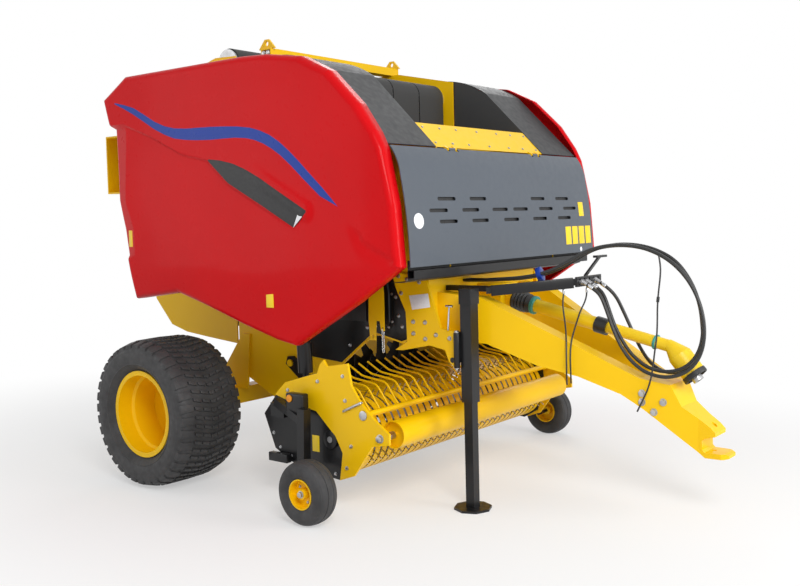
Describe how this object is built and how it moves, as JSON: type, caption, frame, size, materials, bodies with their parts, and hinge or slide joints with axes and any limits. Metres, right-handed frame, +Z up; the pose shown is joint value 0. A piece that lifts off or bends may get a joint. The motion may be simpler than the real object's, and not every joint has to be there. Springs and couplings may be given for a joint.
{
  "type": "round baler",
  "caption": "Trailed round baler with a belt chamber, rear tailgate, tined pickup on gauge wheels, side shields, front hood, drawbar, driveline and parking jack.",
  "frame": {"origin": "on the ground under the middle of the bounding box", "axes": "+X ahead to the hitch, +Y to the machine's left, +Z up"},
  "size_m": [4.72, 3.028, 3.0899],
  "materials": {
    "cover_red": "gloss",
    "frame_yellow": "gloss",
    "hood_grey": "satin",
    "black_metal": "satin",
    "tyre": "matte",
    "belt_rubber": "matte",
    "roller_steel": "satin",
    "rod_chrome": "polished",
    "lamp_red": "gloss",
    "guard_yellow": "satin",
    "hose_rubber": "satin"
  },
  "bodies": {
    "frame": {"axle_beam": "frame_yellow", "side_frames": "frame_yellow", "wall_pins": "frame_yellow", "front_plates": "frame_yellow", "crossmember": "frame_yellow", "front_bar": "black_metal", "top_beam": "frame_yellow", "deck_plate": "frame_yellow", "caps": "hood_grey", "front_belts": "belt_rubber", "front_rollers": "roller_steel", "shield_hinges": "frame_yellow", "drawbar_beams": "frame_yellow", "hitch_head": "frame_yellow", "gearbox": "frame_yellow", "jack_tube": "black_metal", "hose_arm": "black_metal", "driveline_guard": "guard_yellow", "drive_case": "black_metal", "holding_chain": "roller_steel", "driveline_seals": "hose_rubber", "hose_couplers": "roller_steel", "hose_1": "hose_rubber", "hose_2": "hose_rubber", "hose_3": "hose_rubber", "cable_long": "hose_rubber", "cable_near_1": "hose_rubber", "cable_near_2": "hose_rubber"},
    "wheel_right": {"tyre_right": "tyre", "rim_right": "frame_yellow"},
    "wheel_left": {"tyre_left": "tyre", "rim_left": "frame_yellow"},
    "tailgate": {"tailgate_frame": "frame_yellow", "tailgate_belts": "belt_rubber", "tailgate_rollers": "roller_steel", "tailgate_lamps": "lamp_red"},
    "barrel_right": {"ram_barrel_right": "black_metal"},
    "rod_right": {"ram_rod_right": "rod_chrome"},
    "barrel_left": {"ram_barrel_left": "black_metal"},
    "rod_left": {"ram_rod_left": "rod_chrome"},
    "shield_r": {"shield_right": "cover_red"},
    "shield_l": {"shield_left": "cover_red"},
    "hood_body": {"hood": "hood_grey"},
    "pickup": {"pickup_frame": "black_metal", "pickup_cheeks": "frame_yellow", "stripper_bands": "frame_yellow", "gauge_legs": "black_metal"},
    "reel": {"tine_reel": "roller_steel"},
    "rotor": {"feed_rotor": "black_metal"},
    "guard": {"wind_guard": "frame_yellow", "guard_fingers": "frame_yellow"},
    "roller": {"crop_roller": "frame_yellow"},
    "gauge_wheel_right": {"gauge_tyre_right": "tyre", "gauge_rim_right": "frame_yellow"},
    "gauge_wheel_left": {"gauge_tyre_left": "tyre", "gauge_rim_left": "frame_yellow"},
    "lift_ram_barrel": {"lift_barrel": "black_metal"},
    "lift_ram_rod": {"lift_rod": "rod_chrome"},
    "jack": {"jack_leg": "black_metal"},
    "yoke": {"driveline_yoke": "roller_steel"}
  },
  "joints": [
    {"name": "wheel_right_spin", "type": "hinge", "parent": "frame", "child": "wheel_right", "pos_m": [-1.21, -1.252, 0.511], "axis": [0, 1, 0], "continuous": true},
    {"name": "wheel_left_spin", "type": "hinge", "parent": "frame", "child": "wheel_left", "pos_m": [-1.21, 1.252, 0.511], "axis": [0, 1, 0], "continuous": true},
    {"name": "tailgate_lift", "type": "hinge", "parent": "frame", "child": "tailgate", "pos_m": [-0.95, 0, 2.87], "axis": [0, 1, 0], "range_deg": [0, 55]},
    {"name": "ram_right_swing", "type": "hinge", "parent": "frame", "child": "barrel_right", "pos_m": [-0.71, -0.715, 1.4], "axis": [0, 1, 0], "range_deg": [0, 9]},
    {"name": "ram_right_stroke", "type": "slide", "parent": "barrel_right", "child": "rod_right", "axis": [-0.4997, 0, 0.8662], "range_m": [0, 0.4345]},
    {"name": "ram_left_swing", "type": "hinge", "parent": "frame", "child": "barrel_left", "pos_m": [-0.71, 0.715, 1.4], "axis": [0, 1, 0], "range_deg": [0, 9]},
    {"name": "ram_left_stroke", "type": "slide", "parent": "barrel_left", "child": "rod_left", "axis": [-0.4997, 0, 0.8662], "range_m": [0, 0.4345]},
    {"name": "shield_right_lift", "type": "hinge", "parent": "frame", "child": "shield_r", "pos_m": [-0.668, -1.124, 2.862], "axis": [-1, 0, 0], "range_deg": [0, 60]},
    {"name": "shield_left_lift", "type": "hinge", "parent": "frame", "child": "shield_l", "pos_m": [-0.668, 1.124, 2.862], "axis": [1, 0, 0], "range_deg": [0, 60]},
    {"name": "hood_lift", "type": "hinge", "parent": "frame", "child": "hood_body", "pos_m": [0.7545, 0, 2.236], "axis": [0, -1, 0], "range_deg": [0, 70]},
    {"name": "pickup_lift", "type": "hinge", "parent": "frame", "child": "pickup", "pos_m": [-0.59, 0, 0.8], "axis": [0, -1, 0], "range_deg": [0, 14]},
    {"name": "reel_spin", "type": "hinge", "parent": "pickup", "child": "reel", "pos_m": [0.21, 0, 0.44], "axis": [0, 1, 0], "continuous": true},
    {"name": "rotor_spin", "type": "hinge", "parent": "frame", "child": "rotor", "pos_m": [-0.38, 0, 0.68], "axis": [0, 1, 0], "continuous": true},
    {"name": "wind_guard_lift", "type": "hinge", "parent": "pickup", "child": "guard", "pos_m": [0.496, 0, 0.623], "axis": [0, 1, 0], "range_deg": [0, 35]},
    {"name": "crop_roller_spin", "type": "hinge", "parent": "pickup", "child": "roller", "pos_m": [0.626, 0, 0.497], "axis": [0, 1, 0], "continuous": true},
    {"name": "gauge_right_spin", "type": "hinge", "parent": "pickup", "child": "gauge_wheel_right", "pos_m": [0.302, -1.406, 0.195], "axis": [0, 1, 0], "continuous": true},
    {"name": "gauge_left_spin", "type": "hinge", "parent": "pickup", "child": "gauge_wheel_left", "pos_m": [0.302, 1.406, 0.195], "axis": [0, 1, 0], "continuous": true},
    {"name": "lift_ram_swing", "type": "hinge", "parent": "frame", "child": "lift_ram_barrel", "pos_m": [-0.21, -0.9, 1.3], "axis": [0, -1, 0], "range_deg": [0, 1.2]},
    {"name": "lift_ram_stroke", "type": "slide", "parent": "lift_ram_barrel", "child": "lift_ram_rod", "axis": [0.0357, 0, -0.9994], "range_m": [-0.099, 0]},
    {"name": "jack_raise", "type": "slide", "parent": "frame", "child": "jack", "axis": [0, 0, 1], "range_m": [0, 0.4]},
    {"name": "driveline_spin", "type": "hinge", "parent": "frame", "child": "yoke", "pos_m": [2.005, 0, 1.002], "axis": [0.6428, 0, -0.766], "continuous": true}
  ],
  "couplings": [
    {"joint": "ram_right_swing", "follows": "tailgate_lift", "ratio": 0.1563},
    {"joint": "ram_right_stroke", "follows": "tailgate_lift", "m_per_rad": 0.4522},
    {"joint": "ram_left_swing", "follows": "tailgate_lift", "ratio": 0.1563},
    {"joint": "ram_left_stroke", "follows": "tailgate_lift", "m_per_rad": 0.4522},
    {"joint": "lift_ram_swing", "follows": "pickup_lift", "ratio": 0.075},
    {"joint": "lift_ram_stroke", "follows": "pickup_lift", "m_per_rad": -0.4018}
  ]
}
